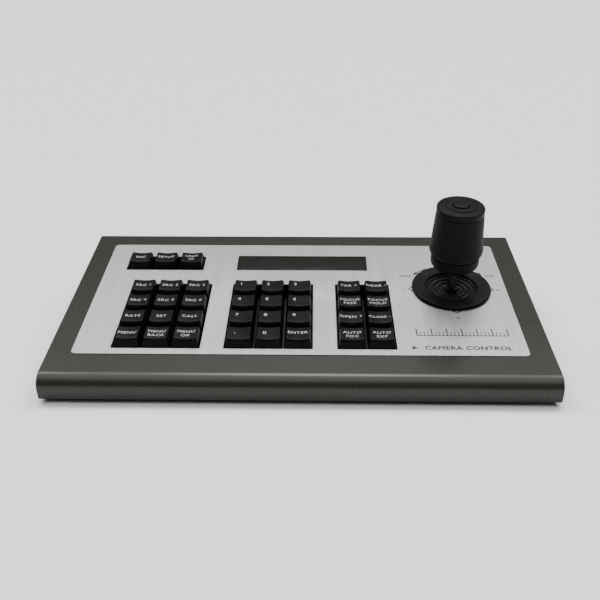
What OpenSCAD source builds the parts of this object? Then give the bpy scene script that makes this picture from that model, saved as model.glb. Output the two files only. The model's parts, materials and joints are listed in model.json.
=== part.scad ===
// Joystick keyboard controller: a sheet-metal desk console with a brushed face plate, 35 push keys,
// a character display and a three-axis joystick with a button on its knob.
// The origin is on the desk, under the middle of the console; +X is to the user's right, +Y away
// from the user, +Z up.
// Deck coordinates are used for what lies on the sloping deck: x across, u up the slope from the
// front face, and n square to the deck, with n = 0 on the cover's painted top face.

/* [Console] */
// Width across the two cheeks
case_w = 322.5; // [310:0.5:340]
// Length of the deck, measured up the slope
deck_l = 184; // [178:1:200]
// Slope of the deck in degrees
slope = 10; // [9:0.5:12]
// Height of the front lip, measured square to the deck
lip_h = 15; // [14:0.5:20]
// Outer radius of the bend along the front edge
bend_r = 9; // [5:0.5:10]
// Outer radius of the bend along the rear edge
rear_bend_r = 4; // [2:0.5:6]
// Thickness of the sheet steel
sheet = 1.2; // [1:0.1:1.5]
// Height of the lip that hangs from the rear edge
rear_lip_h = 7; // [5:0.5:10]
// How far the connector panel sits inside the rear edge
panel_inset = 6; // [5:0.5:8]
// Height of the rubber feet
foot_h = 3; // [3:0.5:5]
// Radius of the rubber feet
foot_r = 7; // [5:0.5:10]

/* [Face plate] */
// Width of the face plate
plate_w = 291.4; // [289:0.1:300]
// Length of the face plate up the slope
plate_l = 138.6; // [138:0.1:145]
// Distance from the front face to the plate's front edge
plate_u = 26.6; // [24:0.1:28]
// Thickness of the face plate
plate_t = 0.5; // [0.3:0.1:1]
// Corner radius of the face plate
plate_r = 3; // [1:0.5:6]

/* [Keys] */
// Distance between the centres of neighbouring keys
key_pitch = 19.05; // [18.6:0.05:19.05]
// Width of a keycap at its foot
cap_w = 17.8; // [17:0.1:18]
// Depth of a keycap at its foot
cap_d = 18; // [17:0.1:18.2]
// Width of a keycap at its top
cap_top_w = 15; // [14:0.1:16]
// How far the front wall of a keycap leans in
cap_front_lean = 2.7; // [1:0.1:3]
// How far the rear wall of a keycap leans in
cap_back_lean = 2; // [1:0.1:3]
// Height of a keycap above the cover
cap_h = 6.3; // [5.5:0.1:8]
// How far a keycap's foot hangs below the cover's top face at rest
cap_skirt = 1.2; // [0.5:0.1:1.5]
// Depth of the finger dish in a keycap
dish_depth = 1; // [0.5:0.1:1.2]
// Gap between a block of keys and the edge of its opening
well_gap = 0.8; // [0.5:0.1:1.2]

/* [Display] */
// Width of the display window
window_w = 96.6; // [90:0.1:98]
// Height of the display window up the slope
window_l = 20.7; // [18:0.1:22]
// Place of the window's middle up the slope
window_u = 138.5; // [137:0.1:142]

/* [Joystick] */
// Place of the joystick across the deck
stick_x = 106.6; // [104:0.1:108]
// Place of the joystick up the slope
stick_u = 103.7; // [103:0.1:108]
// Outer radius of the flange round the boot
flange_r = 27.7; // [27.5:0.1:28.5]
// Height of the flange above the face plate
flange_h = 3; // [2.5:0.1:4]
// Radius of the steel shaft
shaft_r = 2.95; // [2.5:0.05:2.95]
// Depth of the joystick's pivot below the cover's top face
pivot_depth = 10; // [9.5:0.5:10.5]
// Largest radius of the knob's rubber grip
grip_r = 18.5; // [17.5:0.1:19]
// Radius of the knob's top cap
knob_cap_r = 16.1; // [15:0.1:16.5]
// Radius of the button in the top cap
button_r = 5.4; // [4.5:0.1:6]

/* [Connectors] */
// Place of the serial terminal across the rear panel
terminal_x = -40; // [-60:1:-20]
// Place of the network jack across the rear panel
ethernet_x = 10; // [-5:1:20]
// Place of the power jack across the rear panel
power_jack_x = 52; // [40:1:60]
// Place of the power switch across the rear panel
switch_x = 116; // [100:1:130]
// Height of the power switch's middle above the desk
switch_z = 25; // [22:1:27]

/* [Hidden] */
$fn = 64;
// Clearance between sheet parts that slide into each other
gap = 0.3;
// How far a cutter runs past the face that it cuts
past = 1;

// The front edge of the console, where u = 0 and n = 0, with the console's middle on Y = 0
deck_y0 = -(bend_r * (cos(slope) + sin(slope) - 1) + deck_l * cos(slope)) / 2;
deck_z0 = foot_h + lip_h * cos(slope);
rear_y = deck_y0 + deck_l * cos(slope);
rear_z = deck_z0 + deck_l * sin(slope);
panel_y = rear_y - panel_inset;

function deck_y(u, n) = deck_y0 + u * cos(slope) - n * sin(slope);
function deck_z(u, n) = deck_z0 + u * sin(slope) + n * cos(slope);
function deck_point(u, n) = [deck_y(u, n), deck_z(u, n)];
// Height of the cover's top face above the desk at a distance y along the desk
function cover_z(y) = deck_z0 + (y - deck_y0) * tan(slope);
function arc(centre, r, start, end, steps = 12) =
    [for (i = [0:steps]) let (a = start + (end - start) * i / steps) centre + r * [cos(a), sin(a)]];

// Key blocks: place across the deck, place up the slope, columns, rows, and the keys row by row
// from the rear left
left_block = [-92.8, 70.7, 3, 4];
middle_block = [-20.3, 70.7, 3, 4];
right_block = [43.3, 70.7, 2, 4];
top_row = [-101.8, 137.8, 3, 1];
BLOCKS = [left_block, middle_block, right_block, top_row];
left_names = [
    "key_source_1", "key_source_2", "key_source_3",
    "key_source_4", "key_source_5", "key_source_6",
    "key_speed", "key_set", "key_call",
    "key_menu", "key_back", "key_accept"
];
middle_names = [
    "key_digit_1", "key_digit_2", "key_digit_3",
    "key_digit_4", "key_digit_5", "key_digit_6",
    "key_digit_7", "key_digit_8", "key_digit_9",
    "key_point", "key_digit_0", "key_enter"
];
right_names = [
    "key_focus_far", "key_focus_near",
    "key_focus_free", "key_focus_lock",
    "key_iris_open", "key_iris_close",
    "key_auto_focus", "key_auto_exposure"
];
top_names = ["key_escape", "key_setup", "key_device"];

function block_keys(block, names) = [
    for (i = [0:len(names) - 1])
        let (column = i % block[2], row = floor(i / block[2]))
            [
                names[i],
                block[0] + (column - (block[2] - 1) / 2) * key_pitch,
                block[1] + ((block[3] - 1) / 2 - row) * key_pitch
            ]
];
KEYS = concat(
    block_keys(left_block, left_names),
    block_keys(middle_block, middle_names),
    block_keys(right_block, right_names),
    block_keys(top_row, top_names)
);

// Colours
paint = [0.31, 0.32, 0.29];
zinc = [0.62, 0.63, 0.62];
brushed = [0.75, 0.75, 0.72];
black = [0.06, 0.06, 0.06];
rubber = [0.04, 0.04, 0.04];
glass = [0.1, 0.1, 0.09];
board_green = [0.05, 0.3, 0.16];
steel = [0.7, 0.7, 0.7];

// Circuit boards and the switches under the keys, as depths below the cover's top face
board_t = 1.6;
board_depth = 8.4;
switch_side = 13.5;
switch_h = 4.4;
switch_hole = 5;
switch_floor = 0.5;
stem_side = 4;
stem_depth = 5.5;
cap_roof = 2.3;

// Screws: shank radius, clearance radius, and the play round a shank in its thread
screw_r = 1.45;
screw_clear_r = 1.7;
thread_r = 1.5;
screw_head_r = 2.8;

// Cheek flanges that the bottom cover is screwed to
flange_w = 9;
cheek_in = case_w / 2 - sheet;
cover_screw_x = cheek_in - flange_w / 2;
cover_screw_ys = [deck_y0 + 30, deck_y0 + 90, deck_y0 + 150];
cover_screw_l = 5;
flange_end_gap = 12;
base_top = foot_h + sheet;
base_lip_h = 7;

// Feet, measured from the console's sides, its front edge and its connector panel
foot_side_inset = 22;
foot_front_inset = 24;
foot_rear_inset = 20;
foot_chamfer = 0.5;

// Posts under the deck and on the base that carry the circuit boards
deck_post_r = 2;
base_post_r = 3;
key_post_xs = [-124.5, -56.7, 16.2, 66];
key_post_us = [38, 103];
display_post_x = 55;
display_post_u = 15.5;
base_post_xs = [-124, 66];
base_post_insets = [72, 8];

// Joystick parts, measured from the joystick's axis
boot_rim_r = 22.2;
boot_rim_t = 1;
boot_hole_r = 20.5;
flange_bore_r = 17.6;
flange_screw_at = 17;
housing_side = 36;
housing_wall = 2.5;
housing_plate = 44;
housing_plate_t = 4;
housing_depth = 26;
housing_floor = 1.4;
cradle_r = 12.5;
cradle_bore_r = 9.5;
cradle_h = 7;
pin_r = 1.5;
pin_bore_r = 1.55;

// Knob, as heights above the cover's top face
knob_foot = 19.1;
knob_seam = 29.6;
knob_cap_foot = 61.6;
knob_top = 66.3;
hub_bore_r = shaft_r + 0.05;
hub_r = 5.5;
hub_top = 45.6;
core_r = 12.5;

// Connectors on the main board
main_board_z = base_top + 5;
connector_z = main_board_z + board_t;

// Lays its children on the sloping deck
module on_deck() translate([0, deck_y0, deck_z0]) rotate([slope, 0, 0]) children();

// Puts its children on the joystick's axis
module on_stick() on_deck() translate([stick_x, stick_u, 0]) children();

// Extrudes an outline in Y and Z across the console
module across(width) rotate([90, 0, 90]) linear_extrude(width, center = true) children();

// A block from a low corner to a high corner
module block(low, high) translate(low) cube(high - low);

module rounded_plate(width, length, r, t) {
    linear_extrude(t) {
        square([width - 2 * r, length], center = true);
        square([width, length - 2 * r], center = true);
        for (x = [-1, 1], y = [-1, 1])
            translate([x * (width / 2 - r), y * (length / 2 - r)]) circle(r);
    }
}

// The cover's side outline, set in by a sheet thickness for its inside
function cover_outline(inset, drop) = concat(
    [deck_point(inset, -lip_h - drop)],
    arc(deck_point(bend_r, -bend_r), bend_r - inset, 180 + slope, 90 + slope),
    arc(
        [rear_y - rear_bend_r, cover_z(rear_y - rear_bend_r) - rear_bend_r / cos(slope)],
        rear_bend_r - inset, 90 + slope, 0
    ),
    [[rear_y - inset, foot_h - drop]]
);

// What is cut through the deck: key wells, window, joystick hole and the flange's screw holes
module deck_cuts(low, high) {
    for (b = BLOCKS)
        translate([b[0], b[1], (low + high) / 2])
            cube([
                (b[2] - 1) * key_pitch + cap_w + 2 * well_gap,
                (b[3] - 1) * key_pitch + cap_d + 2 * well_gap,
                high - low
            ], center = true);
    translate([0, window_u, (low + high) / 2])
        cube([window_w + gap, window_l + gap, high - low], center = true);
    translate([stick_x, stick_u, low]) {
        cylinder(r = boot_hole_r, h = high - low);
        at_flange_screws() cylinder(r = screw_clear_r, h = high - low);
    }
}

module at_flange_screws() {
    for (x = [-1, 1], y = [-1, 1])
        translate([x * flange_screw_at, y * flange_screw_at, 0]) children();
}

module at_cover_screws() {
    for (side = [-1, 1], y = cover_screw_ys) translate([side * cover_screw_x, y, 0]) children();
}

// Posts that hang from the deck and carry the keypad board and the display board
module deck_posts() {
    for (x = key_post_xs, u = key_post_us) deck_post(x, u);
    for (x = [-1, 1], u = [-1, 1]) deck_post(x * display_post_x, window_u + u * display_post_u);
}

module deck_post(x, u)
    translate([x, u, -board_depth]) cylinder(r = deck_post_r, h = board_depth - sheet / 2);

module top_cover() {
    color(paint) {
        difference() {
            across(case_w) polygon(cover_outline(0, 0));
            across(case_w - 2 * sheet) polygon(cover_outline(sheet, 5));
            on_deck() deck_cuts(-sheet - past, past);
            block(
                [-cheek_in, rear_y - sheet - past, foot_h - past],
                [cheek_in, rear_y + past, rear_z - rear_lip_h]
            );
        }
        on_deck() deck_posts();
        difference() {
            for (side = [-1, 1])
                translate([side * cover_screw_x, (deck_y0 + panel_y) / 2, base_top + sheet / 2])
                    cube([
                        flange_w + sheet / 2,
                        panel_y - deck_y0 - 2 * flange_end_gap,
                        sheet
                    ], center = true);
            at_cover_screws() cylinder(r = thread_r, h = base_top + 2 * sheet);
        }
    }
}

module bottom_cover() {
    front = deck_y(sheet, -lip_h) + gap;
    side = cheek_in - gap;
    panel_top = cover_z(panel_y - sheet) - sheet / cos(slope) - gap;
    color(paint)
        difference() {
            union() {
                block([-side, front, foot_h], [side, panel_y, base_top]);
                block([-side, front, foot_h], [side, front + sheet, foot_h + base_lip_h]);
                block([-side, panel_y - sheet, foot_h], [side, panel_y, panel_top]);
                at_main_board_posts()
                    cylinder(r = base_post_r, h = main_board_z - foot_h - sheet / 2);
            }
            at_cover_screws() translate([0, 0, foot_h - past])
                cylinder(r = screw_clear_r, h = sheet + 2 * past);
            at_cover_screws() screw_head(0.1);
            terminal_cut();
            ethernet_cut();
            power_jack_cut();
            power_switch_cut();
        }
}

module at_main_board_posts() {
    for (x = base_post_xs, inset = base_post_insets)
        translate([x, panel_y - inset, foot_h + sheet / 2]) children();
}

module screw_head(extra) {
    translate([0, 0, foot_h])
        cylinder(r1 = screw_head_r + extra, r2 = screw_r + extra, h = sheet + extra);
}

module cover_screws() {
    color(steel) at_cover_screws() difference() {
        union() {
            screw_head(0);
            translate([0, 0, foot_h + 0.5]) cylinder(r = screw_r, h = cover_screw_l);
        }
        cross_slot(foot_h);
    }
}

// A cross recess in a screw head whose face is at a height
module cross_slot(height) {
    translate([0, 0, height]) {
        cube([2.6, 0.6, 1], center = true);
        cube([0.6, 2.6, 1], center = true);
    }
}

module rubber_feet() {
    foot_x = case_w / 2 - foot_side_inset;
    foot_ys = [deck_y0 + foot_front_inset, panel_y - foot_rear_inset];
    color(rubber) for (x = [-foot_x, foot_x], y = foot_ys) translate([x, y, 0]) {
        cylinder(r1 = foot_r - foot_chamfer, r2 = foot_r, h = foot_chamfer);
        translate([0, 0, foot_chamfer]) cylinder(r = foot_r, h = foot_h - foot_chamfer);
    }
}

module face_plate() {
    color(brushed) on_deck() difference() {
        translate([0, plate_u + plate_l / 2, 0]) rounded_plate(plate_w, plate_l, plate_r, plate_t);
        deck_cuts(-past, plate_t + past);
    }
}

module display_window() {
    color(glass) on_deck() translate([0, window_u, -sheet])
        rounded_plate(window_w, window_l, 0.5, sheet + plate_t - 0.1);
}

module display_module() {
    board_x = 58;
    board_u = 18.5;
    bezel_x = window_w / 2 + 1.2;
    bezel_u = window_l / 2 + 1.65;
    view_x = 46;
    view_u = 8.5;
    view_depth = 0.8;
    top = -sheet - gap;
    color(board_green) on_deck() translate([0, window_u, 0]) difference() {
        union() {
            block([-board_x, -board_u, -board_depth - board_t], [board_x, board_u, -board_depth]);
            block([-bezel_x, -bezel_u, -board_depth], [bezel_x, bezel_u, top]);
        }
        block([-view_x, -view_u, top - view_depth], [view_x, view_u, top + past]);
    }
}

module keypad_board() {
    side_edge = 6.5;
    front_edge = 3;
    rear_edge = 4;
    wing_edge = 2;
    left = left_block[0] - 1.5 * key_pitch - side_edge;
    right = right_block[0] + key_pitch + side_edge;
    front = left_block[1] - 2 * key_pitch - front_edge;
    rear = left_block[1] + 2 * key_pitch + rear_edge;
    wing = 1.5 * key_pitch + wing_edge;
    color(board_green) on_deck() {
        block([left, front, -board_depth - board_t], [right, rear, -board_depth]);
        block(
            [top_row[0] - wing, rear - past, -board_depth - board_t],
            [top_row[0] + wing, top_row[1] + key_pitch / 2 + wing_edge, -board_depth]
        );
    }
}

module key_switches() {
    side = switch_side / 2;
    hole = switch_hole / 2;
    color(black) on_deck() for (key = KEYS) translate([key[1], key[2], -board_depth]) difference() {
        block([-side, -side, 0], [side, side, switch_h]);
        block([-hole, -hole, switch_floor], [hole, hole, switch_h + past]);
    }
}

// One keycap, standing on the deck at its own place
module keycap() {
    dish_r = (pow(cap_top_w / 2, 2) + pow(dish_depth, 2)) / (2 * dish_depth);
    hollow_x = 6.9;
    hollow_front = 6.2;
    hollow_rear = 6.6;
    color(black) {
        difference() {
            intersection() {
                rotate([90, 0, 0]) linear_extrude(2 * cap_d, center = true) polygon([
                    [-cap_w / 2, -cap_skirt], [cap_w / 2, -cap_skirt],
                    [cap_top_w / 2, cap_h], [-cap_top_w / 2, cap_h]
                ]);
                across(2 * cap_w) polygon([
                    [-cap_d / 2, -cap_skirt], [cap_d / 2, -cap_skirt],
                    [cap_d / 2 - cap_back_lean, cap_h], [-cap_d / 2 + cap_front_lean, cap_h]
                ]);
            }
            translate([0, 0, cap_h + dish_r - dish_depth]) rotate([90, 0, 0])
                cylinder(r = dish_r, h = 2 * cap_d, center = true, $fn = 128);
            block(
                [-hollow_x, -hollow_front, -cap_skirt - past],
                [hollow_x, hollow_rear, cap_h - cap_roof]
            );
        }
        block(
            [-stem_side / 2, -stem_side / 2, -stem_depth],
            [stem_side / 2, stem_side / 2, cap_h - cap_roof + 0.2]
        );
    }
}

module main_board() {
    left = base_post_xs[0] - 6;
    right = base_post_xs[1] + 6;
    front = panel_y - base_post_insets[0] - 6;
    color(board_green)
        block([left, front, main_board_z], [right, panel_y - sheet - gap, main_board_z + board_t]);
}

// Stands its children on the main board at the connector panel, facing away from the user
module at_panel(x) translate([x, panel_y, connector_z]) children();
module on_panel(x, z) translate([x, panel_y, z]) children();

// A hole through the connector panel with a gap round something of a width and a height
module panel_cut(width, height)
    block([-width / 2 - gap, -sheet - past, -gap], [width / 2 + gap, past, height + gap]);

jack_w = 16;
jack_h = 13.5;
module ethernet_cut() at_panel(ethernet_x) panel_cut(jack_w, jack_h);

module ethernet_jack() {
    color(steel) at_panel(ethernet_x) difference() {
        block([-jack_w / 2, -20.4, 0], [jack_w / 2, 0.6, jack_h]);
        block([-5.9, -12, 3], [5.9, 2, 11]);
        block([-3.1, -12, 1.2], [3.1, 2, 4]);
    }
}

power_jack_w = 9;
power_jack_h = 11;
power_bore_r = 3.15;
power_pin_r = 1.05;
power_axis_z = 6;
module power_jack_cut() at_panel(power_jack_x) panel_cut(power_jack_w, power_jack_h);

module power_jack() {
    color(black) at_panel(power_jack_x) {
        difference() {
            block([-power_jack_w / 2, -13.6, 0], [power_jack_w / 2, 0.4, power_jack_h]);
            translate([0, 2, power_axis_z]) rotate([90, 0, 0]) cylinder(r = power_bore_r, h = 11);
        }
        translate([0, -0.6, power_axis_z]) rotate([90, 0, 0]) cylinder(r = power_pin_r, h = 9);
    }
}

terminal_ways = 4;
terminal_pitch = 5.08;
terminal_w = terminal_ways * terminal_pitch;
terminal_h = 10;
module terminal_cut() at_panel(terminal_x) panel_cut(terminal_w, terminal_h);

module serial_terminal() {
    color([0.1, 0.4, 0.2]) at_panel(terminal_x) difference() {
        block([-terminal_w / 2, -11.5, 0], [terminal_w / 2, 0.5, terminal_h]);
        for (i = [0:terminal_ways - 1])
            translate([(i - (terminal_ways - 1) / 2) * terminal_pitch, 0, 0]) {
                translate([0, past, 3.4]) rotate([90, 0, 0]) cylinder(r = 1.5, h = 9);
                block([-1.3, -2, 6.6], [1.3, past, 8.4]);
            }
    }
}

rocker_w = 9;
rocker_half = 8.2;
rocker_depth = 1.5;
rocker_rest = 12;
switch_body_x = 6.4;
switch_body_z = 9.5;
module power_switch_cut() on_panel(switch_x, switch_z)
    cube([2 * switch_body_x + 0.4, 2 * (sheet + past), 2 * switch_body_z + 0.4], center = true);

module power_switch_body() {
    color(black) on_panel(switch_x, switch_z) difference() {
        union() {
            block([-7.5, 0, -10.8], [7.5, 1.6, 10.8]);
            block([-switch_body_x, -17, -switch_body_z], [switch_body_x, 0.1, switch_body_z]);
        }
        block([-rocker_w / 2 - gap, -9, -9.2], [rocker_w / 2 + gap, 3, 9.2]);
        translate([0, -rocker_depth, 0]) rotate([0, 90, 0])
            cylinder(r = 1.25, h = 14, center = true);
    }
}

module power_rocker() {
    color(black) on_panel(switch_x, switch_z) translate([0, -rocker_depth, 0]) {
        rotate([rocker_rest, 0, 0]) across(rocker_w) polygon([
            [-3, -2.5], [1, -rocker_half], [4.2, -rocker_half], [2.6, 0],
            [4.2, rocker_half], [1, rocker_half], [-3, 2.5]
        ]);
        rotate([0, 90, 0]) cylinder(r = 1.2, h = 12.2, center = true);
    }
}

module joystick_flange() {
    top = plate_t + flange_h;
    round_r = 1.2;
    color(black) on_stick() difference() {
        rotate_extrude() polygon(concat(
            [
                [flange_bore_r, plate_t + boot_rim_t], [boot_rim_r + gap, plate_t + boot_rim_t],
                [boot_rim_r + gap, plate_t], [flange_r, plate_t]
            ],
            arc([flange_r - round_r, top - round_r], round_r, 0, 90, 4),
            [[flange_bore_r + 0.8, top], [flange_bore_r, top - 0.8]]
        ));
        at_flange_screws() cylinder(r = screw_clear_r, h = 10);
        at_flange_screws() translate([0, 0, top - 1.5]) cylinder(r1 = screw_clear_r, r2 = 3, h = 1.6);
    }
}

module flange_screws() {
    top = plate_t + flange_h;
    color(steel) on_stick() at_flange_screws() difference() {
        union() {
            translate([0, 0, top - 1.4]) cylinder(r1 = screw_r, r2 = 2.8, h = 1.3);
            translate([0, 0, -5]) cylinder(r = screw_r, h = top + 4.6);
        }
        cross_slot(top - 0.1);
    }
}

module joystick_housing() {
    outer = housing_side / 2;
    inner = outer - housing_wall;
    color(black) on_stick() difference() {
        union() {
            translate([0, 0, -sheet - housing_plate_t / 2])
                cube([housing_plate, housing_plate, housing_plate_t], center = true);
            block([-outer, -outer, -housing_depth], [outer, outer, -sheet - past]);
        }
        block([-inner, -inner, -housing_depth + housing_floor], [inner, inner, -sheet - housing_plate_t]);
        translate([0, 0, -pivot_depth]) {
            cylinder(r = inner - 0.5, h = pivot_depth);
            rotate([0, 90, 0]) cylinder(r = pin_bore_r, h = housing_plate + past, center = true);
        }
        at_flange_screws() translate([0, 0, -pivot_depth]) cylinder(r = thread_r, h = pivot_depth);
    }
}

module gimbal_cradle() {
    pin_end = housing_side / 2 - 0.3;
    color(zinc) on_stick() translate([0, 0, -pivot_depth]) {
        difference() {
            cylinder(r = cradle_r, h = cradle_h, center = true);
            cylinder(r = cradle_bore_r, h = cradle_h + past, center = true);
            rotate([90, 0, 0]) cylinder(r = pin_bore_r, h = 30, center = true);
        }
        for (side = [0, 180])
            rotate([0, 0, side]) translate([cradle_r - past, 0, 0]) rotate([0, 90, 0])
                cylinder(r = pin_r, h = pin_end - cradle_r + past);
    }
}

module joystick_shaft() {
    color(steel) on_stick() {
        translate([0, 0, -pivot_depth]) {
            sphere(4.5);
            rotate([90, 0, 0]) cylinder(r = pin_r, h = 2 * cradle_r - 0.6, center = true);
            translate([0, 0, -8]) cylinder(r = 2.5, h = 8);
            translate([0, 0, -11]) cylinder(r = 3.5, h = 4);
            cylinder(r = shaft_r, h = pivot_depth + hub_top - 0.5);
        }
        translate([0, 0, knob_foot - 0.9]) cylinder(r = shaft_r + 1.5, h = 0.7);
    }
}

module sensor_board() {
    floor_n = -housing_depth + housing_floor;
    color(board_green) on_stick() {
        block([-13, -13, floor_n], [13, 13, floor_n + board_t]);
        block([-2.5, -2.5, floor_n + board_t], [2.5, 2.5, floor_n + board_t + 0.7]);
    }
}

// The boot's middle line: rings of ripples that sink towards a collar on the shaft
boot_t = 0.8;
boot_free_r = 17.2;
boot_collar_r = 4.6;
ripple = 3.6;
ripple_h = 0.7;
boot_fall = 0.1;
function boot_height(r) =
    plate_t + boot_rim_t - boot_t / 2 - boot_fall * (boot_free_r - r)
        - ripple_h * (1 - cos(360 * (boot_free_r - r) / ripple));

module rubber_boot() {
    steps = 30;
    collar_foot = -2.5;
    collar_top = 2.5;
    radii = [for (i = [0:steps]) boot_collar_r + (boot_free_r - boot_collar_r) * i / steps];
    color(rubber) on_stick() rotate_extrude() polygon(concat(
        [[shaft_r + 0.05, collar_foot], [boot_collar_r, collar_foot]],
        [for (r = radii) [r, boot_height(r) - boot_t / 2]],
        [[boot_hole_r, plate_t], [boot_rim_r, plate_t], [boot_rim_r, plate_t + boot_rim_t]],
        [for (i = [steps:-1:0]) [radii[i], boot_height(radii[i]) + boot_t / 2]],
        [[boot_collar_r, collar_top], [shaft_r + 0.05, collar_top]]
    ));
}

module knob_core() {
    core_in = core_r - 2;
    hub_foot = knob_foot + 4.5;
    color(black) on_stick() difference() {
        rotate_extrude() polygon(concat(
            [[0, knob_foot], [10, knob_foot], [13.4, knob_foot + 0.5]],
            arc([13.4, knob_foot + 3.9], 3.2, -80, 0, 5),
            [[16.6, knob_seam], [core_r, knob_seam], [core_r, knob_cap_foot], [knob_cap_r, knob_cap_foot]],
            arc([knob_cap_r - 1.2, knob_top - 1.2], 1.2, 0, 90, 4),
            [[10, knob_top], [9.7, knob_top + 0.7], [0, knob_top + 0.7]]
        ));
        translate([0, 0, knob_foot - past]) cylinder(r = hub_bore_r, h = hub_top);
        translate([0, 0, hub_top]) cylinder(r = core_in, h = knob_cap_foot + 2 - hub_top);
        translate([0, 0, hub_foot]) difference() {
            cylinder(r = core_in, h = hub_top);
            cylinder(r = hub_r, h = hub_top - hub_foot);
            translate([0, 0, hub_top - hub_foot]) cylinder(r = core_r, h = hub_top);
        }
        translate([0, 0, knob_cap_foot]) cylinder(r = button_r + gap, h = 10);
    }
}

module knob_grip() {
    color(rubber) on_stick() rotate_extrude() polygon([
        [core_r, knob_seam], [16, knob_seam], [17.3, knob_seam + 1.2], [18.2, knob_seam + 3],
        [grip_r, knob_seam + 5], [grip_r - 0.15, knob_seam + 6.5], [17.8, knob_seam + 8],
        [knob_cap_r, knob_cap_foot], [core_r, knob_cap_foot]
    ]);
}

module knob_button() {
    button_top = knob_top + 1.5;
    button_foot = knob_cap_foot - 1.5;
    color(black) on_stick() {
        translate([0, 0, button_foot]) cylinder(r = button_r + 2, h = 1.5);
        translate([0, 0, button_foot]) cylinder(r = button_r, h = button_top - button_foot - 0.4);
        translate([0, 0, button_top - 0.4]) cylinder(r1 = button_r, r2 = button_r - 0.5, h = 0.4);
    }
}

top_cover();
bottom_cover();
face_plate();
display_window();
display_module();
keypad_board();
key_switches();
main_board();
ethernet_jack();
power_jack();
serial_terminal();
power_switch_body();
power_rocker();
joystick_flange();
flange_screws();
joystick_housing();
gimbal_cradle();
joystick_shaft();
sensor_board();
rubber_boot();
knob_core();
knob_grip();
knob_button();
rubber_feet();
cover_screws();
for (key = KEYS) {
    on_deck() translate([key[1], key[2], 0]) keycap();
}
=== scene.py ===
"""Joystick keyboard controller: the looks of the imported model.

The console is a painted sheet-metal wedge with a brushed face plate, dished keycaps, a display window
and a three-axis joystick. Sizes are in millimetres in deck coordinates: x across, u up the sloping
deck from the front face, and n square to the deck, with n = 0 on the cover's painted top face.
"""

import json
import math

import bmesh
import bpy
from mathutils import Matrix, Vector


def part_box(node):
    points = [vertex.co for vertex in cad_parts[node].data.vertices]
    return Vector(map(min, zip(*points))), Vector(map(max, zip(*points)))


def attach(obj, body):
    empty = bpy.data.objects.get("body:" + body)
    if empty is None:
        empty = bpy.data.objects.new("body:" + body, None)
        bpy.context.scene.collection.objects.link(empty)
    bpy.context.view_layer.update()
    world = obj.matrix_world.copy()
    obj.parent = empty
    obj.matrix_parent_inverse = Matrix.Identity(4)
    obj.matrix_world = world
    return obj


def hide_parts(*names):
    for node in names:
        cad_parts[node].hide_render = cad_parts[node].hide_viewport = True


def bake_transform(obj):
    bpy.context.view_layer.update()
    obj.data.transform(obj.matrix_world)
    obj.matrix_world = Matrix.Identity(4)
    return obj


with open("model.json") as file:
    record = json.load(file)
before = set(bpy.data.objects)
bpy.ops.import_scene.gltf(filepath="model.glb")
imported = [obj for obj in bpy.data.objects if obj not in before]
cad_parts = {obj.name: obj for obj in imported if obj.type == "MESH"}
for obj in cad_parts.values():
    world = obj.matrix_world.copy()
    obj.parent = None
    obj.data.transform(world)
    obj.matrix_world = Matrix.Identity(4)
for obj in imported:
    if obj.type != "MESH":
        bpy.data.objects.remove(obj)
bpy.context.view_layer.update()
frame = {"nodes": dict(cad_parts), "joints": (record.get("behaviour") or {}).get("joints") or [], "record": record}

MM = 0.001
JOINTS = {joint["name"]: joint for joint in frame["joints"]}

# ---------------------------------------------------------------- deck coordinates

# The joystick's pivot in deck coordinates; the frame's joint gives its place in the model
PIVOT_U = 103.7
PIVOT_N = -10.0
PIVOT = Vector(JOINTS["stick_tilt"]["pos_m"])
UP = -Vector(JOINTS["key_enter_press"]["axis"])
FORWARD = Vector(JOINTS["stick_pan"]["axis"])
DECK_ORIGIN = PIVOT - Vector((PIVOT.x, 0, 0)) - MM * (PIVOT_U * FORWARD + PIVOT_N * UP)
DECK = Matrix((
    (MM, FORWARD.x * MM, UP.x * MM, DECK_ORIGIN.x),
    (0, FORWARD.y * MM, UP.y * MM, DECK_ORIGIN.y),
    (0, FORWARD.z * MM, UP.z * MM, DECK_ORIGIN.z),
    (0, 0, 0, 1),
))
STICK = DECK @ Matrix.Translation((PIVOT.x / MM, PIVOT_U, 0))
WORLD = Matrix.Scale(MM, 4)


def deck_box(node):
    """Lowest and highest corner of a CAD node in deck coordinates, in millimetres."""
    back = DECK.inverted()
    points = [back @ vertex.co for vertex in frame["nodes"][node].data.vertices]
    low = Vector(min(p[i] for p in points) for i in range(3))
    high = Vector(max(p[i] for p in points) for i in range(3))
    return low, high


# ---------------------------------------------------------------- camera, floor and light

CAMERA_PLACE = Vector((0.0083, -0.4996, 0.2517))
CAMERA_PITCH = 23.75
CAMERA_YAW = -1.04
CAMERA_ROLL = -0.12
LENS = 46.5
SENSOR_WIDTH = 36
NEAREST = 0.01

DOME_STRENGTH = 1.65
OVERHEAD_STRENGTH = 1.15
OVERHEAD_WIDTH = 22
# Degrees that the overhead light leans; positive leans it towards the front
OVERHEAD_LEAN = -20
OVERHEAD_SIDES = (-32, 0, 32)

# The dome's colours by height, from straight down at 0 to straight up at 1
DOME_BOTTOM = (0.05, 0.05, 0.05)
DOME_STEPS = ((0.6, (0.07, 0.07, 0.06)), (0.68, (0.22, 0.22, 0.19)), (0.8, (1.0, 0.99, 1.02)))
DOME_TOP = (1.6, 1.6, 1.65)

FLOOR_HALF = 12.0
FLOOR_ALBEDO = 0.85


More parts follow.
